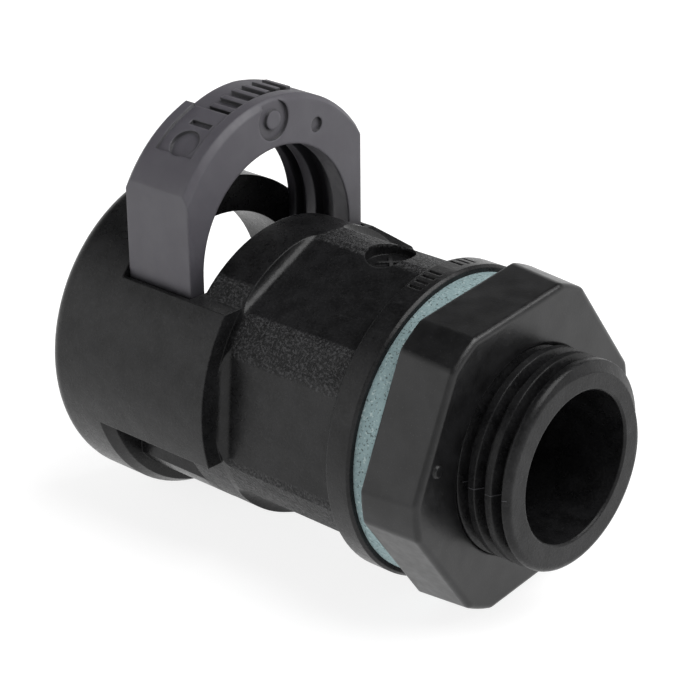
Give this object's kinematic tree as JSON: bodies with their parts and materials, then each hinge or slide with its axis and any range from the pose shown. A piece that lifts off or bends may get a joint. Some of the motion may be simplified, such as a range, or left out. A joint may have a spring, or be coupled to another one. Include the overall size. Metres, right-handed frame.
{
  "type": "conduit gland",
  "caption": "Straight push-in conduit gland: black body with a slide-in grey locking clip, sealing washer and hexagonal lock nut on a threaded end.",
  "frame": {"origin": "on the bore's axis, at the collar's sealing face", "axes": "+X along the bore towards the threaded end, +Z towards the side the locking clip slides in from, +Y completes the right-handed frame"},
  "size_m": [0.042, 0.026, 0.0342],
  "materials": {
    "black_nylon": "fine grained, glass-filled",
    "grey_polymer": "smooth satin",
    "seal_rubber": "smooth",
    "gasket_fibre": "pale green, speckled",
    "nut_nylon": "semi-gloss, moulded"
  },
  "bodies": {
    "body": {"housing": "black_nylon", "conduit_seal": "seal_rubber"},
    "clip": {"locking_clip": "grey_polymer"},
    "gasket": {"panel_gasket": "gasket_fibre"},
    "nut": {"lock_nut": "nut_nylon"}
  },
  "joints": [
    {"name": "clip_slide", "type": "slide", "parent": "body", "child": "clip", "axis": [0, 0, -1], "range_m": [0, 0.00925]},
    {"name": "nut_turn", "type": "hinge", "parent": "body", "child": "gasket", "pos_m": [0, 0, 0], "axis": [1, 0, 0], "range_deg": [0, 2520]},
    {"name": "nut_travel", "type": "slide", "parent": "gasket", "child": "nut", "axis": [1, 0, 0], "range_m": [0, 0.0105]}
  ],
  "couplings": [
    {"joint": "nut_travel", "follows": "nut_turn", "m_per_rad": 0.00023873}
  ]
}
